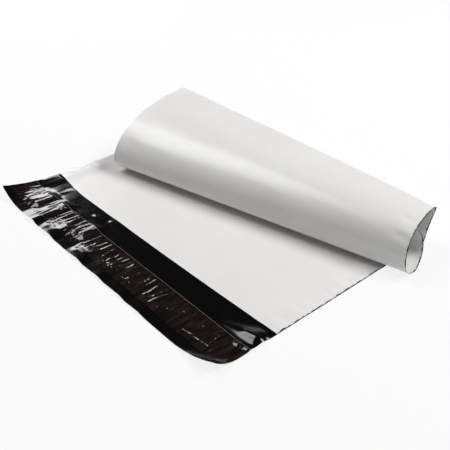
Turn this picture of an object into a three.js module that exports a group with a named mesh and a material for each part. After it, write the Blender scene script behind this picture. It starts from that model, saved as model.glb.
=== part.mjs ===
import * as THREE from 'three';
import { mergeVertices } from 'three/addons/utils/BufferGeometryUtils.js';

// A lay-flat mailer bag of thin co-extruded film, lying on a table with its closed half
// turned back over itself as one loose roll. The film is a single web: the back ply with
// its closing lip, folded at the closed end into the front ply, with both long edges
// welded. A band of adhesive and its release liner lie on the lip.
//
// Millimetres. X runs across the bag, Y from the mouth towards the closed end, Z up.
// The origin is the middle of the mouth line, on the underside of the film.

// Driving dimensions of the flat bag
const bagWidth = 254;
const bodyLength = 330;
const lipLength = 50.8;
const filmThickness = 0.06;
const pocketGap = 0.1;
const pocketEase = 7;
const weldWidth = 5;
const foldLand = 1;

// Adhesive band and release liner, measured back from the mouth along the lip
const linerSetback = 21;
const linerWidth = 22.5;
const linerThickness = 0.06;
const adhesiveSetback = 23;
const adhesiveWidth = 19;
const adhesiveThickness = 0.05;
const layerClearance = 0.05;
const creaseHeight = 0.5;
const creasePitch = 13;
const creaseWander = 71;

// Lifted corners of the lip: the reach of each curl along both edges, and its radius
const farCurl = { alongLip: 30, alongSide: 40, radius: 34 };
const nearCurl = { alongLip: 39, alongSide: 21, radius: 20 };

// The rolled half: one leaf-shaped section at each long edge of the bag. Lengths run along
// the bag from the line where the film lifts off the table. Each ease is the length of a
// curve's handle, and the drift is the sideways travel for each millimetre of film.
const restGap = 0.3;
const farLeaf = {
  liftOff: 119,
  footEase: 8,
  crestSetback: 13,
  crestHeight: 41.3,
  crestRadius: 4.3,
  wallAngle: 80,
  wallEase: 14,
  topAngle: 176,
  topEase: 60,
  noseReach: 77.5,
  noseHeight: 10,
  noseEase: 13,
  contactReach: 74,
  drift: 0.22,
};
const nearLeaf = {
  liftOff: 144.5,
  footEase: 1,
  crestSetback: 5,
  crestHeight: 28.8,
  crestRadius: 4.7,
  wallAngle: 74,
  wallEase: 8.6,
  topAngle: 169,
  topEase: 42.5,
  noseReach: 41,
  noseHeight: 6,
  noseEase: 8,
  contactReach: 37,
  drift: 0.23,
};

// The closed end, curled up inside the roll in front of its back wall
const curlSetbackFar = 15;
const curlSetbackNear = 25;
const curlHeadroom = 6;
const curlTightening = 0.48;

// Fineness of the surface, as numbers of steps
const columns = { inner: 54, body: 9, tail: 2 };
const rows = { margin: 1, adhesive: 2, lip: 4, panel: 2, wall: 7, crest: 6, front: 14, tuck: 5, tail: 16 };

const backTop = filmThickness;
const contactHeight = 2 * filmThickness + pocketGap + restGap;
const degrees = Math.PI / 180;
const quarterEllipseHandle = 0.5523;
const { lerp } = THREE.MathUtils;

// Bends what lies to the left of the line from start to end upwards into a coil, whose
// radius falls by the tightening for each radian of turn.
function curlUp(point, { start, end, radius, tightening = 0 }) {
  const along = end.clone().sub(start).normalize();
  const outward = new THREE.Vector2(-along.y, along.x);
  const depth = outward.dot(new THREE.Vector2(point.x, point.y).sub(start));
  if (depth <= 0) return point;
  const turn = (2 * depth) / (radius + Math.sqrt(radius * radius - 2 * tightening * depth));
  const spoke = radius - tightening * turn;
  const reach = spoke * Math.sin(turn) + tightening * (1 - Math.cos(turn));
  const lift = radius - spoke * Math.cos(turn) - tightening * Math.sin(turn);
  point.x += outward.x * (reach - depth);
  point.y += outward.y * (reach - depth);
  point.z += lift;
  return point;
}

// The outline of one leaf in the plane of its edge, as curves that follow each other.
function leafOutline(leaf) {
  const heading = (angle) => new THREE.Vector2(Math.cos(angle * degrees), Math.sin(angle * degrees));
  const spoke = (angle) => heading(angle - 90).multiplyScalar(leaf.crestRadius);
  const foot = new THREE.Vector2(0, 0);
  const wallEnd = new THREE.Vector2(leaf.crestSetback, leaf.crestHeight - leaf.crestRadius);
  const centre = wallEnd.clone().sub(spoke(leaf.wallAngle));
  const crestEnd = centre.clone().add(spoke(leaf.topAngle));
  const nose = new THREE.Vector2(-leaf.noseReach, leaf.noseHeight);
  const contact = new THREE.Vector2(-leaf.contactReach, contactHeight);
  const wall = new THREE.CubicBezierCurve(
    foot,
    new THREE.Vector2(leaf.footEase, 0),
    wallEnd.clone().sub(heading(leaf.wallAngle).multiplyScalar(leaf.wallEase)),
    wallEnd,
  );
  const crest = new THREE.EllipseCurve(
    centre.x,
    centre.y,
    leaf.crestRadius,
    leaf.crestRadius,
    (leaf.wallAngle - 90) * degrees,
    (leaf.topAngle - 90) * degrees,
  );
  const front = new THREE.CubicBezierCurve(
    crestEnd,
    crestEnd.clone().add(heading(leaf.topAngle).multiplyScalar(leaf.topEase)),
    nose.clone().add(new THREE.Vector2(0, leaf.noseEase)),
    nose,
  );
  const tuck = new THREE.CubicBezierCurve(
    nose,
    new THREE.Vector2(nose.x, lerp(nose.y, contact.y, quarterEllipseHandle)),
    new THREE.Vector2(lerp(contact.x, nose.x, quarterEllipseHandle), contact.y),
    contact,
  );
  return [
    { curve: wall, steps: rows.wall, drift: [0, leaf.drift / 2] },
    { curve: crest, steps: rows.crest, drift: [leaf.drift / 2, leaf.drift] },
    { curve: front, steps: rows.front, drift: [leaf.drift, leaf.drift] },
    { curve: tuck, steps: rows.tuck, drift: [leaf.drift, -leaf.drift] },
  ];
}

// Follows a leaf's outline from the lift-off line and measures the film used on the way.
function followLeaf(leaf, edge) {
  const stops = [];
  let across = edge;
  let film = leaf.liftOff;
  for (const { curve, steps, drift } of leafOutline(leaf)) {
    let before = curve.getPoint(0);
    for (let step = 1; step <= steps; step += 1) {
      const here = curve.getPoint(step / steps);
      const length = here.distanceTo(before);
      const slant = lerp(drift[0], drift[1], (step - 0.5) / steps);
      across += slant * length;
      film += length * Math.hypot(1, slant);
      stops.push({ film, point: new THREE.Vector3(across, leaf.liftOff + here.x, here.y) });
      before = here;
    }
  }
  return stops;
}

const farEdge = -bagWidth / 2;
const nearEdge = bagWidth / 2;
const farStops = followLeaf(farLeaf, farEdge);
const nearStops = followLeaf(nearLeaf, nearEdge);
const farContact = farStops.at(-1);
const nearContact = nearStops.at(-1);

const lipCorners = [
  {
    start: new THREE.Vector2(farEdge + farCurl.alongLip, -lipLength),
    end: new THREE.Vector2(farEdge, farCurl.alongSide - lipLength),
    radius: farCurl.radius,
  },
  {
    start: new THREE.Vector2(nearEdge, nearCurl.alongSide - lipLength),
    end: new THREE.Vector2(nearEdge - nearCurl.alongLip, -lipLength),
    radius: nearCurl.radius,
  },
];

// A point of the part that lies on the table, with the lip's corners curled up.
function tablePoint(share, along) {
  const point = new THREE.Vector3(lerp(farEdge, nearEdge, share), along, 0);
  lipCorners.forEach((corner) => curlUp(point, corner));
  return point;
}

// Past the contact line the film lies on the panel inside the roll, turned by the angle
// between its two folds, and then curls up.
const contactLine = nearContact.point.clone().sub(farContact.point);
const contactFilm = new THREE.Vector2(bagWidth, nearContact.film - farContact.film);
const turnedBy = Math.atan2(contactLine.y, contactLine.x) - Math.atan2(contactFilm.y, contactFilm.x);
const closedWay = new THREE.Vector3(-Math.sin(turnedBy), Math.cos(turnedBy), 0);
const innerCurl = {
  start: new THREE.Vector2(farEdge, farLeaf.liftOff - curlSetbackFar),
  end: new THREE.Vector2(nearEdge, nearLeaf.liftOff - curlSetbackNear),
  radius: (nearLeaf.crestHeight - curlHeadroom) / 2,
  tightening: curlTightening,
};

function tailPoint(share, part) {
  const used = lerp(farContact.film, nearContact.film, share);
  const point = farContact.point.clone().lerp(nearContact.point, share);
  point.addScaledVector(closedWay, (bodyLength - used) * part);
  return curlUp(point, innerCurl);
}

// Columns of the surface, as shares of the width: both edges, both welds, and inner columns
// of which the body and the tail keep only some.
function columnShares(every) {
  const clear = weldWidth + pocketEase;
  const shares = [0, weldWidth / bagWidth];
  for (let column = 0; column <= columns.inner; column += every) {
    shares.push(lerp(clear, bagWidth - clear, column / columns.inner) / bagWidth);
  }
  shares.push(1 - weldWidth / bagWidth, 1);
  return shares;
}

// The rows of the surface from the lip's edge to the closed end. Each row holds its columns
// and a function that places a share of the width.
function filmRows() {
  const list = [];
  const lipShares = columnShares(1);
  const bodyShares = columnShares(columns.body);
  const tailShares = columnShares(columns.tail);
  const stretches = [
    { region: 'lip', from: lipLength, to: linerSetback + linerWidth, steps: rows.margin },
    { region: 'liner', from: linerSetback + linerWidth, to: adhesiveSetback + adhesiveWidth, steps: 1 },
    { region: 'adhesive', from: adhesiveSetback + adhesiveWidth, to: adhesiveSetback, steps: rows.adhesive },
    { region: 'adhesive', from: adhesiveSetback, to: linerSetback, steps: 1 },
    { region: 'liner', from: linerSetback, to: 0, steps: rows.lip },
  ];
  for (const { region, from, to, steps } of stretches) {
    for (let step = 0; step < steps; step += 1) {
      const along = -lerp(from, to, step / steps);
      const place = (share) => tablePoint(share, along);
      list.push({ region: step === 0 ? region : 'lip', shares: lipShares, place });
    }
  }
  list.push({ region: 'mouth', shares: lipShares, place: (share) => tablePoint(share, 0) });
  for (let step = 1; step <= rows.panel; step += 1) {
    const part = step / rows.panel;
    const place = (share) => tablePoint(share, part * lerp(farLeaf.liftOff, nearLeaf.liftOff, share));
    list.push({ region: 'body', shares: bodyShares, place });
  }
  farStops.forEach((stop, index) => {
    const place = (share) => stop.point.clone().lerp(nearStops[index].point, share);
    const shares = stop === farContact ? tailShares : bodyShares;
    list.push({ region: 'body', shares, place });
  });
  for (let step = 1; step < rows.tail; step += 1) {
    const place = (share) => tailPoint(share, step / rows.tail);
    list.push({ region: 'body', shares: tailShares, place });
  }
  const land = 1 - foldLand / (bodyLength - nearContact.film);
  list.push({ region: 'fold', shares: tailShares, place: (share) => tailPoint(share, land) });
  list.push({ region: 'end', shares: tailShares, place: (share) => tailPoint(share, 1) });
  return list;
}

// Adds the point and the surface normal of every column to each row.
function survey(list) {
  const nudge = 0.002;
  list.forEach((row, index) => {
    const before = list[Math.max(0, index - 1)];
    const after = list[Math.min(list.length - 1, index + 1)];
    row.points = row.shares.map((share) => row.place(share));
    row.normals = row.shares.map((share, column) => {
      const across = row.place(Math.min(1, share + nudge)).sub(row.place(Math.max(0, share - nudge)));
      const arriving = row.points[column].clone().sub(before.place(share)).normalize();
      const leaving = after.place(share).sub(row.points[column]).normalize();
      return across.cross(arriving.add(leaving)).normalize();
    });
  });
  return list;
}

function raised(row, column, height) {
  const distance = typeof height === 'function' ? height(row, column) : height;
  return row.points[column].clone().addScaledVector(row.normals[column], distance);
}

const shareOf = ([row, column]) => row.shares[column];
const acrossRow = (row, inset = 0) => row.shares.map((_, column) => [row, column]).slice(inset, -inset || undefined);
const farSide = (list, inset = 0) => list.map((row) => [row, inset]).reverse();
const nearSide = (list, inset = 0) => list.map((row) => [row, row.shares.length - 1 - inset]);

// One skin of a sheet at a height above its surface, in triangles between each row and the
// next, which may hold different columns.
function skin(faces, list, height, facingUp, inset = 0) {
  for (let index = 0; index + 1 < list.length; index += 1) {
    const here = acrossRow(list[index], inset);
    const next = acrossRow(list[index + 1], inset);
    let [a, b] = [0, 0];
    while (a + 1 < here.length || b + 1 < next.length) {
      const advanceHere = b + 1 >= next.length || (a + 1 < here.length && shareOf(here[a + 1]) <= shareOf(next[b + 1]));
      const third = advanceHere ? here[a + 1] : next[b + 1];
      const corners = [here[a], third, next[b]].map(([row, column]) => raised(row, column, height));
      faces.push(facingUp ? corners : corners.reverse());
      if (advanceHere) a += 1;
      else b += 1;
    }
  }
}

// A narrow wall along a chain of places on the surface, between two heights.
function wall(faces, chain, low, high) {
  for (let index = 0; index + 1 < chain.length; index += 1) {
    const [here, next] = [chain[index], chain[index + 1]];
    const corners = [raised(...here, low), raised(...next, low), raised(...next, high), raised(...here, high)];
    faces.push([corners[0], corners[1], corners[2]], [corners[0], corners[2], corners[3]]);
  }
}

function closedGeometry(faces) {
  const geometry = new THREE.BufferGeometry().setFromPoints(faces.flat());
  const merged = mergeVertices(geometry, 1e-4);
  merged.computeVertexNormals();
  return merged;
}

// The pocket between the plies closes to nothing at the welds and at the folded end.
function pocketHeight(row, column) {
  const fromSide = Math.min(column, row.shares.length - 1 - column);
  return fromSide < 2 || row.region === 'fold' || row.region === 'end' ? 0 : pocketGap;
}

function bagFilm(list) {
  const mouth = list.findIndex((row) => row.region === 'mouth');
  const fold = list.findIndex((row) => row.region === 'fold');
  const body = list.slice(mouth);
  const pocket = list.slice(mouth, fold + 1);
  const closedEnd = acrossRow(list.at(-1)).reverse();
  const roof = (row, column) => backTop + pocketHeight(row, column);
  const top = (row, column) => roof(row, column) + filmThickness;
  const faces = [];
  skin(faces, list, 0, false);
  skin(faces, list.slice(0, mouth + 1), backTop, true);
  skin(faces, pocket, backTop, true, 1);
  skin(faces, pocket, roof, false, 1);
  skin(faces, body, top, true);
  wall(faces, acrossRow(list[0]), 0, backTop);
  wall(faces, acrossRow(list[mouth]), roof, top);
  wall(faces, closedEnd, 0, backTop);
  wall(faces, closedEnd, backTop, top);
  wall(faces, farSide(list), 0, backTop);
  wall(faces, nearSide(list), 0, backTop);
  wall(faces, farSide(body), backTop, top);
  wall(faces, nearSide(body), backTop, top);
  return closedGeometry(faces);
}

// A strip over some of the lip's rows, its ends set in by a number of columns.
function lipStrip(list, inset, low, high) {
  const faces = [];
  skin(faces, list, low, false, inset);
  skin(faces, list, high, true, inset);
  wall(faces, acrossRow(list[0], inset), low, high);
  wall(faces, acrossRow(list.at(-1), inset).reverse(), low, high);
  wall(faces, farSide(list, inset), low, high);
  wall(faces, nearSide(list, inset), low, high);
  return closedGeometry(faces);
}

function rowsBetween(list, region) {
  const last = list.findLastIndex((row) => row.region === region);
  return list.slice(list.findIndex((row) => row.region === region), last + 1);
}

function adhesiveStrip(list) {
  const low = backTop + layerClearance;
  return lipStrip(rowsBetween(list, 'adhesive'), 1, low, low + adhesiveThickness);
}

// The liner's cross creases follow each other at a pitch that wanders along the lip.
function releaseLiner(list) {
  const base = backTop + 2 * layerClearance + adhesiveThickness;
  const low = (row, column) => {
    const across = bagWidth * row.shares[column];
    const phase = across / creasePitch + Math.sin((2 * Math.PI * across) / creaseWander);
    return base + creaseHeight * Math.abs(Math.sin(Math.PI * phase));
  };
  const high = (row, column) => low(row, column) + linerThickness;
  return lipStrip(rowsBetween(list, 'liner'), 0, low, high);
}

const mailer = new THREE.Group();
const surface = survey(filmRows());

function addPiece(name, geometry, settings) {
  const piece = new THREE.Mesh(geometry, new THREE.MeshStandardMaterial(settings));
  piece.name = name;
  mailer.add(piece);
}

addPiece('bag_film', bagFilm(surface), { color: '#ecebe9', roughness: 0.42, metalness: 0 });
addPiece('adhesive_strip', adhesiveStrip(surface), { color: '#3b3630', roughness: 0.3, metalness: 0 });
addPiece('release_liner', releaseLiner(surface), { color: '#1b1715', roughness: 0.16, metalness: 0 });

export default mailer;
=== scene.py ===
# %% [markdown]
# # A poly mailer bag, lying with its closed half rolled back
#
# The object is a bag of thin polyethylene film, white outside and black inside. Its lip
# carries a band of adhesive under a creased release liner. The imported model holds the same
# bag as plain solids. This lesson dresses it: each soft piece is rebuilt as a fine mesh in
# the same place, with the wrinkles and the finish that the solids leave out.

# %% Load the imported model
import math

import bpy
import numpy as np
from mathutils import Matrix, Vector


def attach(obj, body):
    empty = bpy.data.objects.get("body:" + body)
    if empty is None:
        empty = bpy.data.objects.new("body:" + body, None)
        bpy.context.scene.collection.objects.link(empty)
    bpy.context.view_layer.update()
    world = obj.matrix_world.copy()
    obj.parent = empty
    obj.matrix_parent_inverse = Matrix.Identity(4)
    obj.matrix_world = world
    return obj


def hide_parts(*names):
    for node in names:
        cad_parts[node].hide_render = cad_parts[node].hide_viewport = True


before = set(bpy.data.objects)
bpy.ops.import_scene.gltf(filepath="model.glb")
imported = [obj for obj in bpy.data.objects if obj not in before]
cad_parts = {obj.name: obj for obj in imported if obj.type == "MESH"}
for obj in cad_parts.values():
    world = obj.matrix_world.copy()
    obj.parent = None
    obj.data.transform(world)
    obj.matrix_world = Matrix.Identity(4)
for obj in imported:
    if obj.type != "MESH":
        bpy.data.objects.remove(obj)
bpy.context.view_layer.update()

# %% [markdown]
# The camera comes first, because every later choice is judged through it. It stands at the
# near corner of the lip and looks down across the bag at about 34 degrees. Its place was
# worked out from the bag's straight edges, so the lens needs no shift.

# %% Place the camera
camera_place = Vector((0.3301, -0.2171, 0.2746))
camera_pitch = math.radians(33.7)
camera_way = Vector((-0.7547, 0.6561, 0)).normalized()
look = camera_way * math.cos(camera_pitch) - Vector((0, 0, math.sin(camera_pitch)))

camera_data = bpy.data.cameras.new("camera")
camera_data.lens = 54.32
camera_data.sensor_width = 36
camera_data.sensor_fit = "HORIZONTAL"
camera_data.clip_start = 0.01
camera = bpy.data.objects.new("camera", camera_data)
camera.location = camera_place
camera.rotation_mode = "QUATERNION"
camera.rotation_quaternion = look.to_track_quat("-Z", "Y")
bpy.context.scene.collection.objects.link(camera)
bpy.context.scene.camera = camera
print("camera looks along", [round(x, 3) for x in look])

# %% [markdown]
# Film doesn't stretch, so the whole bag is drawn on one surface that keeps its lengths.
# The flat half lies on the table. Past the lift-off line each long edge climbs along a
# leaf-shaped outline, and straight lines join the two edges, as they do in a rolled sheet.
# The measures are in millimetres. They are those of the solids, so the mesh falls in the
# same place, apart from the roll's front: it hangs 4 mm further forward here and tucks
# further under, as limp film does.

# %% Measures of the flat bag
MM = 0.001
bag_width = 254.0
body_length = 330.0
lip_length = 50.8
film = 0.06
pocket = 0.1
pocket_ease = 7.0
weld = 5.0
rest_gap = 0.3
contact_height = 2 * film + pocket + rest_gap
far_edge, near_edge = -bag_width / 2, bag_width / 2
print("flat web:", bag_width, "by", round(2 * body_length + lip_length, 1), "mm")

# %% Measures of the roll and of the lifted corners
far_leaf = dict(
    lift_off=119, foot_ease=8, crest_setback=13, crest_height=41.3, crest_radius=4.3,
    wall_angle=80, wall_ease=14, top_angle=176, top_ease=60, nose_reach=81.5,
    nose_height=10.5, nose_ease=13, contact_reach=65, drift=0.22,
)
near_leaf = dict(
    lift_off=144.5, foot_ease=1, crest_setback=5, crest_height=28.8, crest_radius=4.7,
    wall_angle=74, wall_ease=8.6, top_angle=169, top_ease=42.5, nose_reach=45,
    nose_height=8, nose_ease=8, contact_reach=31, drift=0.23,
)
far_corner = dict(
    start=(far_edge + 30, -lip_length), end=(far_edge, 40 - lip_length), radius=34, tightening=0
)
near_corner = dict(
    start=(near_edge, 21 - lip_length), end=(near_edge - 39, -lip_length), radius=20, tightening=0
)
lip_curls = [far_corner, near_corner]
end_curl = dict(
    start=(far_edge, far_leaf["lift_off"] - 15),
    end=(near_edge, near_leaf["lift_off"] - 25),
    radius=11.4,
    tightening=0.48,
)
print("crest heights:", far_leaf["crest_height"], "and", near_leaf["crest_height"], "mm")


# %% Helpers that shape the surface
def blend(a, b, t):
    return a + (b - a) * t


def smooth(t):
    """Rises softly from 0 to 1 as t goes from 0 to 1."""
    t = np.clip(t, 0, 1)
    return t * t * (3 - 2 * t)


def heading(angle):
    return np.array([math.cos(math.radians(angle)), math.sin(math.radians(angle))])


def bezier(a, b, c, d, steps):
    t = np.linspace(0, 1, steps + 1)[:, None]
    return (1 - t) ** 3 * a + 3 * (1 - t) ** 2 * t * b + 3 * (1 - t) * t * t * c + t**3 * d


def curl_up(points, start, end, radius, tightening):
    """Bends what lies to the left of the line from start to end upwards into a coil."""
    start, end = np.array(start, float), np.array(end, float)
    along = (end - start) / np.linalg.norm(end - start)
    outward = np.array([-along[1], along[0]])
    depth = np.maximum((points[..., :2] - start) @ outward, 0)
    turn = 2 * depth / (radius + np.sqrt(radius**2 - 2 * tightening * depth))
    spoke = radius - tightening * turn
    reach = spoke * np.sin(turn) + tightening * (1 - np.cos(turn))
    lift = radius - spoke * np.cos(turn) - tightening * np.sin(turn)
    points = points.copy()
    points[..., :2] += (reach - depth)[..., None] * outward
    points[..., 2] += lift
    return points


def on_table(across, along):
    """The flat half of the film, with the lip's corners curled up."""
    points = np.stack([across + far_edge, along, np.zeros_like(across)], axis=-1)
    for curl in lip_curls:
        points = curl_up(points, **curl)
    return points


print("far corner of the lip:", on_table(np.zeros(1), np.array([-lip_length])).round(1))

# %% Follow the outline of one leaf
round_handle = 0.5523


def leaf_outline(leaf, steps):
    """Four curves up, over, forward and under, each with its slant at both ends."""
    radius = leaf["crest_radius"]
    wall_end = np.array([leaf["crest_setback"], leaf["crest_height"] - radius])
    centre = wall_end - radius * heading(leaf["wall_angle"] - 90)
    crest_end = centre + radius * heading(leaf["top_angle"] - 90)
    nose = np.array([-leaf["nose_reach"], leaf["nose_height"]])
    contact = np.array([-leaf["contact_reach"], contact_height])
    wall = bezier(
        np.zeros(2),
        np.array([leaf["foot_ease"], 0]),
        wall_end - leaf["wall_ease"] * heading(leaf["wall_angle"]),
        wall_end,
        steps["wall"],
    )
    turns = np.linspace(leaf["wall_angle"], leaf["top_angle"], steps["crest"] + 1)
    crest = np.array([centre + radius * heading(angle - 90) for angle in turns])
    front = bezier(
        crest_end,
        crest_end + leaf["top_ease"] * heading(leaf["top_angle"]),
        nose + np.array([0, leaf["nose_ease"]]),
        nose,
        steps["front"],
    )
    tuck = bezier(
        nose,
        np.array([nose[0], blend(nose[1], contact[1], round_handle)]),
        np.array([blend(contact[0], nose[0], round_handle), contact[1]]),
        contact,
        steps["tuck"],
    )
    drift = leaf["drift"]
    return [
        (wall, 0, drift / 2),
        (crest, drift / 2, drift),
        (front, drift, drift),
        (tuck, drift, -drift),
    ]


def follow_leaf(leaf, edge, steps):
    """Points of a long edge round the roll, and the film used up to each of them."""
    stops, used = [], []
    across, length = edge, float(leaf["lift_off"])
    for curve, slant_from, slant_to in leaf_outline(leaf, steps):
        count = len(curve) - 1
        for step in range(1, count + 1):
            run = np.linalg.norm(curve[step] - curve[step - 1])
            slant = blend(slant_from, slant_to, (step - 0.5) / count)
            across += slant * run
            length += run * math.hypot(1, slant)
            stops.append((across, leaf["lift_off"] + curve[step][0], curve[step][1]))
            used.append(length)
    return np.array(stops), np.array(used)


leaf_steps = dict(wall=16, crest=14, front=36, tuck=10)
far_stops, far_used = follow_leaf(far_leaf, far_edge, leaf_steps)
near_stops, near_used = follow_leaf(near_leaf, near_edge, leaf_steps)
print("film used at the contact line:", round(far_used[-1], 1), round(near_used[-1], 1))

# %% [markdown]
# The surface is a grid. Its columns are closest near the two long edges, where the side
# welds pucker the film, and its rows are closest on the lip and over the tight crest.
# Every vertex remembers its place on the flat film, so wrinkles can be worked out there.

# %% Choose the columns and rows
edge_columns = np.array([0, 1, 2, 3, 4, 5, 6.2, 7.5, 9, 10.5, 12])
middle_columns = np.linspace(12, bag_width - 12, 75)[1:-1]
body_across = np.concatenate([edge_columns, middle_columns, (bag_width - edge_columns)[::-1]])
column_number = np.arange(len(body_across))
third_steps = np.arange(0, 3 * len(body_across) - 2) / 3
lip_across = np.interp(third_steps, column_number, body_across)
lip_along = np.linspace(-lip_length, 0, 48)
panel_rows, end_rows = 62, 40
share = body_across / bag_width
print("columns of the body and the lip:", len(body_across), len(lip_across))

# %% Place the lip and the body
lip_u, lip_v = np.meshgrid(lip_across, lip_along)
lip_surface = on_table(lip_u, lip_v)

row_points, row_along = [], []
for part in np.linspace(0, 1, panel_rows):
    row_along.append(part * blend(far_leaf["lift_off"], near_leaf["lift_off"], share))
    row_points.append(on_table(body_across, row_along[-1]))
lift_row = len(row_points) - 1
for far, near, far_film, near_film in zip(far_stops, near_stops, far_used, near_used):
    row_along.append(blend(far_film, near_film, share))
    row_points.append(blend(far[None], near[None], share[:, None]))
contact_row = len(row_points) - 1

contact_line = near_stops[-1] - far_stops[-1]
turn_on_table = math.atan2(contact_line[1], contact_line[0])
turn_on_film = math.atan2(near_used[-1] - far_used[-1], bag_width)
turned = turn_on_table - turn_on_film
closed_way = np.array([-math.sin(turned), math.cos(turned), 0])
used_film = row_along[-1]
for part in np.linspace(0, 1, end_rows + 1)[1:]:
    left_over = (body_length - used_film) * part
    flat = row_points[contact_row] + left_over[:, None] * closed_way
    row_along.append(used_film + left_over)
    row_points.append(curl_up(flat, **end_curl))

body_surface = np.array(row_points)
body_v = np.array(row_along)
body_u = np.broadcast_to(body_across, body_v.shape)
print("lip grid:", lip_surface.shape[:2], "body grid:", body_surface.shape[:2])


# %% Find which way the film faces at every vertex
def unit(vectors):
    return vectors / np.linalg.norm(vectors, axis=-1, keepdims=True)


def facing(points):
    down = np.gradient(points, axis=0)
    over = np.gradient(points, axis=1)
    return unit(np.cross(over, down))


lip_facing, body_facing = facing(lip_surface), facing(body_surface)
print("the flat panel faces", body_facing[0, len(body_across) // 2].round(2))

# %% [markdown]
# Real film is never quite flat. The hot side welds shrink it, which leaves a row of small
# puckers along both long edges. The lip is a single ply, so it waves more than the panel:
# it has swells with a sharp crest at its far end, and a flare that grows towards its near
# edge. A cloth simulation would lose these small forms in a general softness, so they are
# written as gentle height fields on the flat film, each from its own line and height.


# %% Smooth noise on the flat film
def ripple(across, along, pitch_across, pitch_along, seed):
    """Soft lumps from -1 to 1, about one pitch apart each way."""
    size = 64
    table = np.random.default_rng(seed).uniform(-1, 1, (size, size))
    a, b = across / pitch_across + 31.3, along / pitch_along + 29.7
    column, row = np.floor(a).astype(int), np.floor(b).astype(int)
    s, t = smooth(a - column), smooth(b - row)
    pick = lambda i, j: table[(column + i) % size, (row + j) % size]
    return blend(blend(pick(0, 0), pick(1, 0), s), blend(pick(0, 1), pick(1, 1), s), t)


def bump(distance, rise, fall):
    """A quarter at the edge, 1 from about the rise to the fall, 0 at twice the fall."""
    return smooth(distance / rise + 0.35) * (1 - smooth((distance - fall) / fall))


print("a ripple at the mouth:", ripple(np.arange(3) * 20.0, np.zeros(3), 26, 24, 11).round(2))


# %% Forms that a fold of the lip can take
def beside_line(across, along, start, end):
    """How far a place lies along a line and to its side, and the line's length."""
    (u0, v0), (u1, v1) = start, end
    length = math.hypot(u1 - u0, v1 - v0)
    s = ((across - u0) * (u1 - u0) + (along - v0) * (v1 - v0)) / length
    d = ((along - v0) * (u1 - u0) - (across - u0) * (v1 - v0)) / length
    return s, d, length


def fold(across, along, start, end, width, height):
    """A rounded ridge along a line on the flat film, soft at both ends."""
    s, d, length = beside_line(across, along, start, end)
    ends = smooth(s / (2 * width) + 0.5) * smooth((length - s) / (2 * width) + 0.5)
    return height * ends * np.exp(-((d / width) ** 2))


def flare(across, along, start, end, width, height):
    """A ridge that starts at a point and grows wider and higher along its line."""
    narrowest, end_ease = 0.4, 8
    s, d, length = beside_line(across, along, start, end)
    grown = np.clip(s / length, 0.001, 2)
    shut = smooth((length - s) / end_ease + 0.5)
    return height * grown * shut * np.exp(-((d / (width * grown + narrowest)) ** 2))


def swell(across, along, foot, crest, back, near_mouth, near_edge, height):
    """A slope that rises evenly from its foot to a sharp crest and drops behind it."""
    mouth_ease, edge_ease = 9, 6
    rise = np.clip((across - foot) / (crest - foot), 0, 1)
    drop = smooth((across - crest) / back)
    before_mouth = smooth((near_mouth - along) / mouth_ease + 0.5)
    window = before_mouth * smooth((along - near_edge) / edge_ease + 0.5)
    return height * rise * (1 - drop) * window


fold_start = fold(np.zeros(1), np.zeros(1), (0, 0), (20, 0), 3, 1)
print("share of a fold's height at its start:", fold_start.round(2))

# %% Places of the folds, flares and swells
lip_folds = [
    dict(start=(60, -43), end=(74, -46), width=3.6, height=0.7),
    dict(start=(101, -44), end=(113, -45), width=3.0, height=0.6),
    dict(start=(74, -12), end=(84, -13), width=2.6, height=0.5),
    dict(start=(88, -8), end=(95, -9), width=2.2, height=0.45),
    dict(start=(240, -14), end=(256, -11), width=2.2, height=0.7),
    dict(start=(243, -24), end=(256, -20), width=1.8, height=0.7),
]
lip_flares = [
    dict(start=(219, -19), end=(252, -10), width=8.0, height=2.3),
    dict(start=(62, -22), end=(30, -4), width=7.0, height=0.2),
    dict(start=(112, -14), end=(92, 0), width=6.0, height=0.8),
]
lip_swells = [
    dict(foot=11, crest=32, back=8, near_mouth=-20, near_edge=-40, height=1.6),
    dict(foot=35, crest=50.5, back=5, near_mouth=-20, near_edge=-60, height=1.75),
    dict(foot=58, crest=75, back=7, near_mouth=-33, near_edge=-60, height=1.7),
    dict(foot=76, crest=91, back=6, near_mouth=-17, near_edge=-36, height=1.4),
    dict(foot=97, crest=113, back=8, near_mouth=-36, near_edge=-60, height=1.5),
    dict(foot=122, crest=138, back=9, near_mouth=-34, near_edge=-60, height=1.2),
    dict(foot=146, crest=163, back=9, near_mouth=-34, near_edge=-60, height=1.1),
    dict(foot=170, crest=184, back=9, near_mouth=-30, near_edge=-60, height=1.0),
]
print("forms on the lip:", len(lip_folds) + len(lip_flares) + len(lip_swells))


# %% Heights of the lip above its smooth surface
wave_rise, fold_rise = 22, 6
far_zone, near_zone, near_zone_start = 110, 40, 205


def lip_height(across, along):
    """Waves of the single-ply lip, which grow from the mouth to its free edge."""
    outward = smooth(-along / wave_rise)
    past_mouth = smooth(-along / fold_rise)
    far_end = 1 - smooth(across / far_zone)
    near_end = smooth((across - near_zone_start) / near_zone)
    waves = 0.5 + 0.5 * ripple(across, along, 26, 24, 11)
    small = 0.5 + 0.5 * ripple(across, along, 9, 11, 12)
    fine_share = 0.03 + 0.11 * far_end + 0.05 * near_end
    height = outward * ((0.6 + 0.7 * far_end) * waves + (0.1 + 0.2 * far_end) * small)
    height = height + outward * fine_share * ripple(across, along, 3.4, 13, 13)
    height = height + sum(fold(across, along, **line) for line in lip_folds) * past_mouth
    height = height + sum(flare(across, along, **line) for line in lip_flares) * past_mouth
    return height + sum(swell(across, along, **slope) for slope in lip_swells)


free_edge = lip_height(lip_across, 0 * lip_across - lip_length)
print("the lip's free edge waves by up to", round(float(free_edge.max()), 2), "mm")

# %% Heights beside the side welds
pucker_rise, pucker_fall = 3.5, 9
lip_fade_end, lip_fade = 24, 20
rim_width = 4


def from_side(across):
    return np.minimum(across, bag_width - across)


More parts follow.
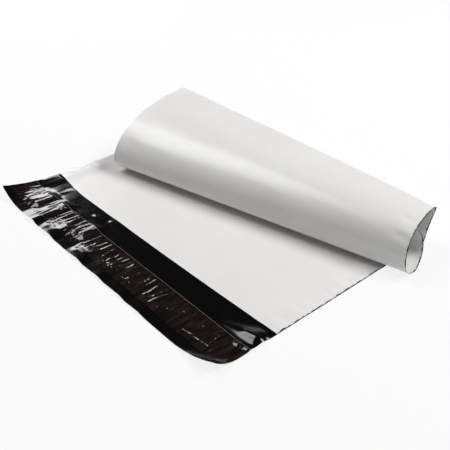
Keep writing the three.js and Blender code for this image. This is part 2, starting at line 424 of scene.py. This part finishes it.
def pucker_height(across, along):
    """Small puckers that run straight out from both side welds, unlike on each side."""
    near_half = across > bag_width / 2
    shape = ripple(0 * across + 3 * near_half, along, 5, 5.2, 21)
    fine = ripple(across, along, 7, 2.7, 22)
    window = bump(from_side(across), pucker_rise, pucker_fall)
    return window * (0.5 + 0.36 * shape + 0.14 * fine)


def lip_and_puckers(across, along):
    """The lip's waves, and the puckers where they run out over the lip."""
    runs_out = smooth((along + lip_fade_end) / lip_fade)
    return lip_height(across, along) + 0.6 * pucker_height(across, along) * runs_out


def rim_crinkle(across, along):
    """Short crinkles at the cut edges of the rolled half."""
    return np.exp(-from_side(across) / rim_width) * ripple(across, along, 9, 3.2, 23)


lip_lift = lip_and_puckers(lip_u, lip_v)
print("lip lifts by up to", round(float(lip_lift.max()), 2), "mm")

# %% Height of the body above its smooth surface
roll_start_rows, roll_end_rows, roll_fade_rows = 6, 18, 12
row_number = np.arange(len(body_v))[:, None] + 0 * body_v
on_panel = row_number <= lift_row
covered_from = blend(far_leaf["lift_off"] - 77.5, near_leaf["lift_off"] - 41, share)[None]
cover_ease = 12


def uncovered(along):
    """1 on the open panel, and 0 where the roll lies over it."""
    return 1 - smooth((along - covered_from + cover_ease) / cover_ease)


def panel_lift(across, along):
    """Puckers of the flat panel, which fade out under the roll."""
    deeper_far = 1.1 + 0.5 * (across < bag_width / 2)
    return pucker_height(across, along) * deeper_far * uncovered(along)


def waves_of_roll(across, along):
    """Broad waves, and faint straight ones that run the length of the roll."""
    return 0.4 * ripple(across, along, 70, 26, 31) + 0.1 * ripple(across, along, 110, 7, 32)


after_lift_off = smooth((row_number - lift_row) / roll_start_rows)
near_contact = smooth((row_number - contact_row + roll_end_rows) / roll_fade_rows)
on_roll = after_lift_off * (1 - near_contact)
roll_waves = waves_of_roll(body_u, body_v) + 0.3 * rim_crinkle(body_u, body_v)
body_lift = np.where(on_panel, panel_lift(body_u, body_v), 0)
body_lift = body_lift + 0.8 * on_roll * pucker_height(body_u, body_v)
body_lift = body_lift + on_roll * roll_waves
print("body lifts by up to", round(float(body_lift.max()), 2), "mm")

# %% [markdown]
# The front ply is slack at the mouth. It stands a little open there, and its edge bows out
# over the lip by some millimetres between the side welds that hold it. The front ply's
# first rows are slid along the film for that, and lifted over whatever lies below them.

# %% Slide the mouth of the front ply a little over the lip
gape_depth, bow_depth = 28, 30
greatest_bow, bow_start = 4.0, 45
gape = 0.2 + 0.2 * ripple(body_u, body_v, 41, 60, 41)
in_panel = np.where(on_panel, uncovered(body_v), 0)
gape = gape * (1 - smooth(body_v / gape_depth)) * in_panel

mouth_bow = greatest_bow * smooth(body_across / bow_start) * (1 - share**2)
slid_v = body_v - mouth_bow * (1 - smooth(body_v / bow_depth))
near_mouth = on_panel & (body_v < bow_depth)
front_surface = np.where(near_mouth[..., None], on_table(body_u, slid_v), body_surface)
over_both = np.maximum(lip_and_puckers(body_u, slid_v), panel_lift(body_u, slid_v))
front_lift = np.where(near_mouth, over_both, body_lift)
print("the mouth bows out by", round(float(mouth_bow.max()), 1), "mm")
print("and gapes by up to", round(float(gape.max()), 2), "mm")

# %% [markdown]
# The bag is one closed shell with four skins: the outer face of the back ply, its inner
# face, the inner face of the front ply and its outer face. The two inner faces meet at the
# side welds. Each skin takes its height from the same surface, and its quads are cut along
# the same diagonal, so the plies never cross. The lip's grid is three times as fine as the
# body's, so a row of triangles joins the two at the mouth line.


# %% Helpers that make skins
def raised(points, normal, height):
    return points + normal * np.broadcast_to(height, points.shape[:-1])[..., None]


def skin(points, place, finish, up=True):
    """A grid of points as vertices, flat places and quads."""
    ids = np.arange(points[..., 0].size).reshape(points.shape[:2])
    corners = [ids[:-1, :-1], ids[:-1, 1:], ids[1:, 1:], ids[1:, :-1]]
    quads = np.stack(corners, axis=-1).reshape(-1, 4)
    facing_down = quads[:, [0, 3, 2, 1]]
    return points.reshape(-1, 3), place.reshape(-1, 2), quads if up else facing_down, finish


def ribbon(low, high, place, finish):
    """A cut edge: a narrow strip between two lines of points."""
    return skin(np.stack([low, high]), np.stack([place, place]), finish)


def seam(fine, coarse, fine_place, coarse_place, finish, up=True):
    """Triangles between a line of points and one that holds every third of them."""
    a = 3 * np.arange(len(coarse) - 1)
    p = len(fine) + np.arange(len(coarse) - 1)
    corners = [(a, a + 1, p), (a + 1, p + 1, p), (a + 1, a + 2, p + 1), (a + 2, a + 3, p + 1)]
    triangles = np.concatenate([np.stack(three, axis=-1) for three in corners])
    points = np.concatenate([fine, coarse])
    place = np.concatenate([fine_place, coarse_place])
    return points, place, triangles if up else triangles[:, ::-1], finish


# %% Helpers that join skins into a piece
steps_per_mm = 2000


def join(patches):
    """Puts patches together, with one vertex for each place."""
    starts = np.cumsum([0] + [len(patch[0]) for patch in patches[:-1]])
    points = np.concatenate([patch[0] for patch in patches])
    place = np.concatenate([patch[1] for patch in patches])
    key = np.round(points * steps_per_mm).astype(np.int64)
    _, first, same = np.unique(key, axis=0, return_index=True, return_inverse=True)
    faces, finish_of_face = [], []
    for patch, start in zip(patches, starts):
        faces += same.reshape(-1)[patch[2] + start].tolist()
        finish_of_face += [patch[3]] * len(patch[2])
    return points[first], place[first], faces, finish_of_face


def make_piece(name, patches, finishes):
    """A smooth-shaded mesh object whose UV map holds each point's place on the flat film."""
    points, flat_place, faces, finish_of_face = join(patches)
    mesh = bpy.data.meshes.new(name)
    mesh.from_pydata((points * MM).tolist(), [], faces)
    for finish in finishes:
        mesh.materials.append(finish)
    mesh.polygons.foreach_set("material_index", finish_of_face)
    corner_vertex = np.empty(len(mesh.loops), int)
    mesh.loops.foreach_get("vertex_index", corner_vertex)
    layer = mesh.uv_layers.new(name="flat_film")
    flat_corners = (flat_place * MM)[corner_vertex].astype(np.float32)
    layer.uv.foreach_set("vector", flat_corners.ravel())
    mesh.polygons.foreach_set("use_smooth", np.ones(len(mesh.polygons), bool))
    mesh.set_sharp_from_angle(angle=math.radians(55))
    mesh.validate()
    piece = bpy.data.objects.new(name, mesh)
    bpy.context.scene.collection.objects.link(piece)
    print(name, "has", len(mesh.polygons), "faces")
    return piece


# %% [markdown]
# Colours are written as sRGB hex values, as they are read off a picture, and turned to the
# linear values that Blender works in. One small function adds a node and its links. The
# flat film's map is in metres, so a pattern's scale is one over its real size.


# %% Colour and node helpers
def colour(hex_value):
    srgb = [int(hex_value[i : i + 2], 16) / 255 for i in (1, 3, 5)]
    linear = [c / 12.92 if c <= 0.04045 else ((c + 0.055) / 1.055) ** 2.4 for c in srgb]
    return (*linear, 1)


def every(millimetres):
    """The texture scale that repeats a pattern once in so many millimetres."""
    return 1000 / millimetres


def add(tree, kind, settings=None, links=None):
    """Adds a node, sets its values and joins outputs of other nodes to its inputs."""
    node = tree.nodes.new(kind)
    for name, value in (settings or {}).items():
        if isinstance(name, int) or name in node.inputs:
            node.inputs[name].default_value = value
        else:
            setattr(node, name, value)
    for name, output in (links or {}).items():
        tree.links.new(output, node.inputs[name])
    return node


def new_finish(name, ior):
    """A material with a Principled shader, and its map of places on the flat film."""
    material = bpy.data.materials.new(name)
    material.use_nodes = True
    tree = material.node_tree
    shader = tree.nodes["Principled BSDF"]
    shader.inputs["IOR"].default_value = ior
    place = add(tree, "ShaderNodeUVMap", {"uv_map": "flat_film"})
    return material, tree, shader, place.outputs[0]


print("a mid grey is", round(colour("#808080")[0], 3), "in linear light")

# %% [markdown]
# The outer face is white low-density polyethylene, blown as a tube and left satin by its
# filler. It gives the eye a soft, wide sheen and hides what is behind it. Faint lines from
# the die run along the bag, and its thickness wavers a little over some centimetres. Along
# the near cut edge a thin, ragged dark line is painted: partly the black layer behind it,
# partly painted shadow under the edge. The filler's grain and the die lines are far finer
# than a pixel, so they are drawn at 1.2 and 4 mm.

# %% White co-extruded polyethylene film
white_film, tree, shader, place = new_finish("white_blown_polyethylene_film", 1.51)
cloud = add(
    tree, "ShaderNodeTexNoise", {"Scale": every(45), "Detail": 2.0}, {"Vector": place}
)
shade = add(tree, "ShaderNodeValToRGB", {}, {"Fac": cloud.outputs["Fac"]})
shade.color_ramp.elements[0].position = 0.3
shade.color_ramp.elements[0].color = colour("#efedec")
shade.color_ramp.elements[1].position = 0.7
shade.color_ramp.elements[1].color = colour("#f2f1f0")

half_width = bag_width / 2 * MM
parts = add(tree, "ShaderNodeSeparateXYZ", {}, {0: place})
from_middle = add(
    tree,
    "ShaderNodeMath",
    {"operation": "SUBTRACT", 1: half_width},
    {0: parts.outputs["X"]},
)
# A thin, ragged dark line painted along the near cut edge: partly the black layer behind the white
# one, partly painted shadow under the edge.
ragged = add(
    tree, "ShaderNodeTexNoise", {"Scale": every(4), "Detail": 1.0}, {"Vector": place}
)
edge_line_width = add(
    tree,
    "ShaderNodeMapRange",
    {"To Min": -0.1 * MM, "To Max": 1.8 * MM},
    {"Value": ragged.outputs["Fac"]},
)
reach = add(
    tree,
    "ShaderNodeMath",
    {"operation": "ADD"},
    {0: from_middle.outputs[0], 1: edge_line_width.outputs["Result"]},
)
at_edge = add(
    tree,
    "ShaderNodeMapRange",
    {"From Min": half_width + 0.1 * MM, "From Max": half_width + 0.2 * MM},
    {"Value": reach.outputs[0]},
)
with_painted_edge_line = add(
    tree,
    "ShaderNodeMix",
    {"data_type": "RGBA", 7: colour("#2a2727")},
    {0: at_edge.outputs["Result"], 6: shade.outputs["Color"]},
)
tree.links.new(with_painted_edge_line.outputs[2], shader.inputs["Base Color"])
print("coloured", white_film.name)

# %% Sheen and fine relief of the white film
grain = add(
    tree, "ShaderNodeTexNoise", {"Scale": every(1.2), "Detail": 2.0}, {"Vector": place}
)
sheen = add(
    tree,
    "ShaderNodeMapRange",
    {"To Min": 0.26, "To Max": 0.3},
    {"Value": grain.outputs["Fac"]},
)
tree.links.new(sheen.outputs["Result"], shader.inputs["Roughness"])

stretched = add(
    tree, "ShaderNodeMapping", {"Scale": (every(4), every(300), 1)}, {"Vector": place}
)
die_lines = add(
    tree,
    "ShaderNodeTexNoise",
    {"Scale": 1.0, "Detail": 1.0},
    {"Vector": stretched.outputs[0]},
)
line_bump = add(
    tree,
    "ShaderNodeBump",
    {"Strength": 0.25, "Distance": 0.03 * MM},
    {"Height": die_lines.outputs["Fac"]},
)
wave = add(
    tree, "ShaderNodeTexNoise", {"Scale": every(20), "Detail": 1.5}, {"Vector": place}
)
wave_bump = add(
    tree,
    "ShaderNodeBump",
    {"Strength": 0.5, "Distance": 0.3 * MM},
    {"Height": wave.outputs["Fac"], "Normal": line_bump.outputs["Normal"]},
)
tree.links.new(wave_bump.outputs["Normal"], shader.inputs["Normal"])
print("made", white_film.name)

# %% [markdown]
# The inner face is the same film filled with carbon black. It left the press against
# itself, so it is glossy: it looks black where it mirrors a dark part of the room, and
# white where a wrinkle turns towards a lamp.

# %% Black co-extruded polyethylene film
black_film, tree, shader, place = new_finish("black_blown_polyethylene_film", 1.51)
shader.inputs["Base Color"].default_value = colour("#070606")
haze = add(
    tree, "ShaderNodeTexNoise", {"Scale": every(15), "Detail": 3.0}, {"Vector": place}
)
gloss = add(
    tree,
    "ShaderNodeMapRange",
    {"To Min": 0.09, "To Max": 0.16},
    {"Value": haze.outputs["Fac"]},
)
tree.links.new(gloss.outputs["Result"], shader.inputs["Roughness"])
crumple = add(
    tree, "ShaderNodeTexNoise", {"Scale": every(14), "Detail": 1.0}, {"Vector": place}
)
crumple_bump = add(
    tree,
    "ShaderNodeBump",
    {"Strength": 0.3, "Distance": 0.3 * MM},
    {"Height": crumple.outputs["Fac"]},
)
tree.links.new(crumple_bump.outputs["Normal"], shader.inputs["Normal"])
print("made", black_film.name)

# %% Skins of the bag
WHITE, BLACK = 0, 1
weld_columns = 5
gape_start, gape_ease = 2, 18
from_weld = from_side(body_across) - weld
room = pocket * smooth(from_weld / pocket_ease)[None]
room = room + gape * smooth((from_weld - gape_start) / gape_ease)[None]
room[-2:] = 0
lip_place = np.stack([lip_u, lip_v], axis=-1)
body_place = np.stack([body_u, body_v], axis=-1)

lip_under = raised(lip_surface, lip_facing, lip_lift)
lip_top = raised(lip_surface, lip_facing, lip_lift + film)
under = raised(body_surface, body_facing, body_lift)
back_inner = raised(body_surface, body_facing, body_lift + film)
front_inner = raised(front_surface, body_facing, front_lift + film + room)
top = raised(front_surface, body_facing, front_lift + 2 * film + room)
inside = (slice(0, -1), slice(weld_columns, -weld_columns))
print("the pocket opens by up to", round(float(room.max()), 2), "mm")

# %% Join them into the bag
patches = [
    skin(lip_under[:-1], lip_place[:-1], WHITE, up=False),
    skin(lip_top[:-1], lip_place[:-1], BLACK),
    seam(lip_under[-2], under[0], lip_place[-2], body_place[0], WHITE, up=False),
    seam(lip_top[-2], back_inner[0], lip_place[-2], body_place[0], BLACK),
    skin(under, body_place, WHITE, up=False),
    skin(back_inner[inside], body_place[inside], BLACK),
    skin(front_inner[inside], body_place[inside], BLACK, up=False),
    skin(top, body_place, WHITE),
    ribbon(lip_under[0], lip_top[0], lip_place[0], WHITE),
    ribbon(lip_under[::-1, 0], lip_top[::-1, 0], lip_place[::-1, 0], BLACK),
    ribbon(lip_under[:, -1], lip_top[:, -1], lip_place[:, -1], BLACK),
    ribbon(front_inner[0], top[0], body_place[0], BLACK),
    ribbon(under[::-1, 0], back_inner[::-1, 0], body_place[::-1, 0], BLACK),
    ribbon(back_inner[::-1, 0], top[::-1, 0], body_place[::-1, 0], BLACK),
    ribbon(under[:, -1], back_inner[:, -1], body_place[:, -1], BLACK),
    ribbon(back_inner[:, -1], top[:, -1], body_place[:, -1], BLACK),
    ribbon(under[-1, ::-1], back_inner[-1, ::-1], body_place[-1, ::-1], WHITE),
    ribbon(back_inner[-1, ::-1], top[-1, ::-1], body_place[-1, ::-1], WHITE),
]
bag = make_piece("mailer_film", patches, [white_film, black_film])
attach(bag, "root")
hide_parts("bag_film")

# %% [markdown]
# Two layers lie on the lip. The adhesive is a hot-melt band, rolled on while soft. The
# liner over it is a thin silicone-coated film that was fed across the web, so it keeps
# sharp creases across the lip and a few fine lines along it. Both are laid on the lip's
# own waves, at the real spacing of their layers.

# %% Where the layers lie
layer_gap = 0.05
liner_band = (-43.5, -21.0)
adhesive_band = (-42.0, -23.0)
adhesive_thickness = 0.05
liner_thickness = 0.06


def lip_point(across, along):
    """Points and facing of the lip's smooth surface at any places on the flat film."""
    step = 0.2
    over = on_table(across + step, along) - on_table(across - step, along)
    down = on_table(across, along + step) - on_table(across, along - step)
    return on_table(across, along), unit(np.cross(over, down))


def lay_strip(name, finish, band, grid, margin, underside, thickness):
    """A thin strip on the lip. Underside is a function that gives its height over the film."""
    across = np.linspace(margin, bag_width - margin, grid[0])
    across, along = np.meshgrid(across, np.linspace(*band, grid[1]))
    smooth_points, normal = lip_point(across, along)
    height = lip_height(across, along) + film + underside(across, along)
    low = raised(smooth_points, normal, height)
    high = raised(smooth_points, normal, height + thickness)
    place = np.stack([across, along], axis=-1)
    patches = [
        skin(low, place, 0, up=False),
        skin(high, place, 0),
        ribbon(low[0], high[0], place[0], 0),
        ribbon(low[-1, ::-1], high[-1, ::-1], place[-1, ::-1], 0),
        ribbon(low[::-1, 0], high[::-1, 0], place[::-1, 0], 0),
        ribbon(low[:, -1], high[:, -1], place[:, -1], 0),
    ]
    return make_piece(name, patches, [finish])


print("liner width:", liner_band[1] - liner_band[0], "mm")

# %% [markdown]
# The hot-melt is a brownish, tacky rubber. Under the liner only its wet, blotchy gloss
# would show, at the strip's edges.

# %% Hot-melt adhesive
hot_melt, tree, shader, place = new_finish("pressure_sensitive_hot_melt", 1.50)
shader.inputs["Base Color"].default_value = colour("#241b14")
blotch = add(
    tree, "ShaderNodeTexNoise", {"Scale": every(4), "Detail": 3.0}, {"Vector": place}
)
wet = add(
    tree,
    "ShaderNodeMapRange",
    {"To Min": 0.18, "To Max": 0.45},
    {"Value": blotch.outputs["Fac"]},
)
tree.links.new(wet.outputs["Result"], shader.inputs["Roughness"])
blotch_bump = add(
    tree,
    "ShaderNodeBump",
    {"Strength": 0.6, "Distance": 0.05 * MM},
    {"Height": blotch.outputs["Fac"]},
)
tree.links.new(blotch_bump.outputs["Normal"], shader.inputs["Normal"])
print("made", hot_melt.name)


# %% Lay the adhesive
def adhesive_underside(across, along):
    """The adhesive lies evenly on the film, whatever the place."""
    return layer_gap


adhesive = lay_strip(
    "hot_melt_band",
    hot_melt,
    adhesive_band,
    (240, 20),
    5.0,
    adhesive_underside,
    adhesive_thickness,
)
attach(adhesive, "root")
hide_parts("adhesive_strip")

# %% [markdown]
# Creases of the liner run across the lip at uneven distances. Each is a narrow ridge that
# starts and ends at its own place and leans a little. They stand closer together towards
# the far end, where the lip curls up. A few sharp folds lie near the corner. Two embossed
# lines along the strip are broken into dots, and small specks are strewn between them.
# The finest real creases would be lost in the render, so all are drawn a little coarser.

# %% Draw the places of the creases
crease_dice = np.random.default_rng(5)
dense_zone = 115
creases = []
position = 1.5
while position < bag_width:
    far = 1 - min(position / dense_zone, 1)
    creases.append(
        dict(
            position=position,
            bold=blend(0.32, 0.2, far) * crease_dice.uniform(0.3, 1),
            width=crease_dice.uniform(0.6, 1.3),
            lean=crease_dice.uniform(-0.15, 0.15),
            middle=crease_dice.uniform(blend(-32, -40, far), -22),
            reach=crease_dice.uniform(2, blend(9, 16, far)),
            wave=crease_dice.integers(1000),
        )
    )
    position += crease_dice.uniform(2.2, blend(7.0, 4.2, far))
sharp_creases = [
    dict(start=(230, -27), end=(232.5, -21), width=0.7, height=0.24),
    dict(start=(239, -41), end=(243, -22), width=0.7, height=0.24),
    dict(start=(213.5, -39), end=(222, -37.5), width=0.5, height=0.18),
    dict(start=(224, -38), end=(236, -36.5), width=0.5, height=0.18),
    dict(start=(52, -24), end=(51, -43), width=0.7, height=0.5),
    dict(start=(196, -33), end=(199, -22), width=0.7, height=0.22),
]
print("creases:", len(creases), "and sharp ones:", len(sharp_creases))

# %% Draw the places of the dots
upper_line, middle_line, lower_line = -28.5, -33.5, -38.5
dot_height, dot_radius, speck_radius = 0.17, 0.5, 0.45
specks = []
for _ in range(150):
    speck_across = crease_dice.uniform(55, 245)
    speck_line = crease_dice.choice([upper_line, middle_line, lower_line])
    specks.append((speck_across, speck_line + crease_dice.normal(0, 1.2)))
print("specks:", len(specks))


# %% Heights of the liner
strip_middle = -32
crease_end = 5
stuck_margin = 2.5


def crease_height(across, along):
    """Height of the liner over its bed: soft lumps, creases, specks and dotted lines."""
    height = 0.09 + 0.08 * ripple(across, along, 6, 8, 51) + 0.14 * ripple(across, along, 14, 9, 52)
    height = np.maximum(height, 0)
    for crease in creases:
        line = crease["position"] + crease["lean"] * (along - strip_middle)
        line = line + 0.9 * ripple(across * 0, along, 5, 6, crease["wave"])
        ridge = np.exp(-(((across - line) / crease["width"]) ** 2))
        past_end = np.abs(along - crease["middle"]) - crease["reach"]
        inside = 1 - smooth(past_end / crease_end)
        height = height + crease["bold"] * ridge * inside
    for line in sharp_creases:
        height = height + fold(across, along, **line)
    for u, v in specks:
        off_centre = (across - u) ** 2 + (along - v) ** 2
        height = height + dot_height * np.exp(-(off_centre / speck_radius**2))
    for line, seed in ((upper_line, 61), (lower_line, 63)):
        dots = smooth(ripple(across, along, 2.2, 80, seed) * 2.4 - 0.7)
        height = height + dot_height * dots * np.exp(-(((along - line) / dot_radius) ** 2))
    return height


def liner_underside(across, along):
    """The liner lies over the adhesive, and its edges are pressed down flatter."""
    from_edge = np.minimum(along - liner_band[0], liner_band[1] - along)
    loose = 0.25 + 0.75 * smooth(from_edge / stuck_margin)
    return 2 * layer_gap + adhesive_thickness + loose * crease_height(across, along)


middle_height = liner_underside(np.array([bag_width / 2]), np.array([middle_line]))
print("the liner's middle lies", middle_height.round(2), "mm over the film")

# %% [markdown]
# The liner is clear film over dark layers, so it looks brownish black, with white glints
# along its creases. Where it has come off the adhesive a thin veil of air turns it greyer.
# Its cut edge on the mouth's side gets a pale painted line, a painted highlight where that
# edge catches the light. Its finest crinkles are drawn at 1.6 mm, because the real ones
# would be too fine to show.

# %% Silicone-coated release liner
liner_film, tree, shader, place = new_finish("silicone_coated_release_film", 1.50)
veil_place = add(
    tree, "ShaderNodeMapping", {"Scale": (every(3), every(12), 1)}, {"Vector": place}
)
veil = add(
    tree,
    "ShaderNodeTexNoise",
    {"Scale": 1.0, "Detail": 3.0},
    {"Vector": veil_place.outputs[0]},
)
veil_shade = add(tree, "ShaderNodeValToRGB", {}, {"Fac": veil.outputs["Fac"]})
veil_shade.color_ramp.elements[0].position = 0.42
veil_shade.color_ramp.elements[0].color = colour("#130e0d")
veil_shade.color_ramp.elements[1].position = 0.75
veil_shade.color_ramp.elements[1].color = colour("#29211f")
# A pale line along the cut edge on the mouth's side: a painted highlight where that edge catches
# the light.
mouth_side = liner_band[1]
parts = add(tree, "ShaderNodeSeparateXYZ", {}, {0: place})
at_edge = add(
    tree,
    "ShaderNodeMapRange",
    {"From Min": (mouth_side - 0.35) * MM, "From Max": (mouth_side - 0.15) * MM},
    {"Value": parts.outputs["Y"]},
)
with_painted_edge_line = add(
    tree,
    "ShaderNodeMix",
    {"data_type": "RGBA", 7: colour("#7d736c")},
    {0: at_edge.outputs["Result"], 6: veil_shade.outputs["Color"]},
)
tree.links.new(with_painted_edge_line.outputs[2], shader.inputs["Base Color"])
print("coloured", liner_film.name)

# %% Gloss and fine relief of the liner
slick = add(
    tree,
    "ShaderNodeMapRange",
    {"To Min": 0.06, "To Max": 0.16},
    {"Value": veil.outputs["Fac"]},
)
tree.links.new(slick.outputs["Result"], shader.inputs["Roughness"])
crinkle = add(
    tree, "ShaderNodeMapping", {"Scale": (every(1.6), every(8), 1)}, {"Vector": place}
)
crinkle_noise = add(
    tree,
    "ShaderNodeTexNoise",
    {"Scale": 1.0, "Detail": 2.0},
    {"Vector": crinkle.outputs[0]},
)
crinkle_bump = add(
    tree,
    "ShaderNodeBump",
    {"Strength": 0.5, "Distance": 0.06 * MM},
    {"Height": crinkle_noise.outputs["Fac"]},
)
tree.links.new(crinkle_bump.outputs["Normal"], shader.inputs["Normal"])
print("made", liner_film.name)

# %% Lay the liner
liner = lay_strip(
    "release_liner_film",
    liner_film,
    liner_band,
    (640, 48),
    0.0,
    liner_underside,
    liner_thickness,
)
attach(liner, "root")
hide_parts("release_liner")

# %% [markdown]
# The room is a plain photo studio with a white floor and a dark surround. The floor is
# matt paper that keeps the bag's shadow. It also glows to the camera and in mirrors, so
# that it comes out white without more light falling on the bag.

# %% Floor
floor_reach = 6
floor_corners = [
    (-floor_reach, -floor_reach, 0),
    (floor_reach, -floor_reach, 0),
    (floor_reach, floor_reach, 0),
    (-floor_reach, floor_reach, 0),
]
floor_mesh = bpy.data.meshes.new("floor")
floor_mesh.from_pydata(floor_corners, [], [(0, 1, 2, 3)])
floor = bpy.data.objects.new("floor", floor_mesh)
floor.location.z = -0.3 * MM
bpy.context.scene.collection.objects.link(floor)

floor_paper = bpy.data.materials.new("white_background_paper")
floor_paper.use_nodes = True
tree = floor_paper.node_tree
tree.nodes.clear()
paper = add(tree, "ShaderNodeBsdfDiffuse", {"Color": colour("#f4f4f4")})
glow = add(tree, "ShaderNodeEmission", {"Color": (1, 1, 1, 1), "Strength": 1.0})
path = add(tree, "ShaderNodeLightPath")
seen = add(
    tree,
    "ShaderNodeMath",
    {"operation": "MAXIMUM"},
    {0: path.outputs["Is Camera Ray"], 1: path.outputs["Is Glossy Ray"]},
)
seen_all = add(
    tree,
    "ShaderNodeMath",
    {"operation": "MAXIMUM"},
    {0: seen.outputs[0], 1: path.outputs["Is Transmission Ray"]},
)
amount = add(
    tree,
    "ShaderNodeMath",
    {"operation": "MULTIPLY", 1: 0.82},
    {0: seen_all.outputs[0]},
)
mix = add(
    tree,
    "ShaderNodeMixShader",
    {},
    {0: amount.outputs[0], 1: paper.outputs[0], 2: glow.outputs[0]},
)
add(tree, "ShaderNodeOutputMaterial", {}, {"Surface": mix.outputs[0]})
floor_mesh.materials.append(floor_paper)
print("made", floor_paper.name)

# %% [markdown]
# The wall beyond the floor is white to the camera alone, because the glossy black film
# has to mirror a dark room. What the film mirrors, and what lights the bag a little from
# all round, is a grey band above the horizon that fades out upwards. The band behind the
# bag and the one on the camera's side fade at different heights.

# %% World
world = bpy.data.worlds.new("studio")
bpy.context.scene.world = world
world.use_nodes = True
tree = world.node_tree
tree.nodes.clear()
direction = add(tree, "ShaderNodeTexCoord")
parts = add(tree, "ShaderNodeSeparateXYZ", {}, {0: direction.outputs["Generated"]})


def level_by_height(stops):
    """A ramp of grey over the height of the looked-at direction above the horizon."""
    level = add(tree, "ShaderNodeValToRGB", {}, {"Fac": parts.outputs["Z"]})
    while len(level.color_ramp.elements) < len(stops):
        level.color_ramp.elements.new(0.5)
    for element, (height, value) in zip(level.color_ramp.elements, stops):
        element.position = height
        element.color = (value, value, value, 1)
    return level


front = level_by_height([(0.0, 0.12), (0.3, 0.1), (0.6, 0.02), (1.0, 0.02)])
back = level_by_height([(0.0, 0.12), (0.36, 0.1), (0.47, 0.03), (1.0, 0.03)])
behind = add(
    tree,
    "ShaderNodeMapRange",
    {"From Min": -0.05, "From Max": 0.15},
    {"Value": parts.outputs["Y"]},
)
level = add(
    tree,
    "ShaderNodeMix",
    {"data_type": "RGBA"},
    {0: behind.outputs["Result"], 6: front.outputs["Color"], 7: back.outputs["Color"]},
)
room_light = add(tree, "ShaderNodeBackground", {"Strength": 1.0}, {"Color": level.outputs[2]})
white_wall = add(tree, "ShaderNodeBackground", {"Color": (1, 1, 1, 1), "Strength": 1.0})
path = add(tree, "ShaderNodeLightPath")
sky = add(
    tree,
    "ShaderNodeMixShader",
    {},
    {0: path.outputs["Is Camera Ray"], 1: room_light.outputs[0], 2: white_wall.outputs[0]},
)
add(tree, "ShaderNodeOutputWorld", {}, {"Surface": sky.outputs[0]})
print("made world", world.name)

# %% [markdown]
# A large soft box behind the bag lights the flat film and lays the shadow in front of the
# roll. A second one on the left gives the roll its sheen. A small one low on the left puts
# the glints on the creases, and a weak one in front fills the roll's lower side. None of
# them stands where the flat lip would mirror it, so the black film stays black.


# %% Lamps
def soft_box(name, place, aim, size, watts):
    lamp = bpy.data.lights.new(name, "AREA")
    lamp.shape = "RECTANGLE"
    lamp.size, lamp.size_y = size
    lamp.energy = watts
    holder = bpy.data.objects.new(name, lamp)
    holder.location = place
    holder.rotation_mode = "QUATERNION"
    holder.rotation_quaternion = (Vector(aim) - Vector(place)).to_track_quat("-Z", "Y")
    bpy.context.scene.collection.objects.link(holder)
    return holder


bag_middle = (0, 0.03, 0)
lamps = [
    soft_box("back_lamp", (0.55, 0.95, 1.12), bag_middle, (0.9, 0.5), 18.2),
    soft_box("left_lamp", (-0.72, -0.04, 1.08), bag_middle, (0.55, 0.7), 7.4),
    soft_box("side_lamp", (-0.97, 0.33, 0.33), (-0.1, -0.03, 0), (0.3, 0.2), 1.15),
    soft_box("front_fill", (0.1, -1.3, 0.14), (0, 0.03, 0.02), (1.1, 0.2), 1.1),
]
print("lamps:", [lamp.name for lamp in lamps])

# %% [markdown]
# The plain view transform shows each colour as it was written.

# %% View
bpy.context.scene.view_settings.view_transform = "Standard"
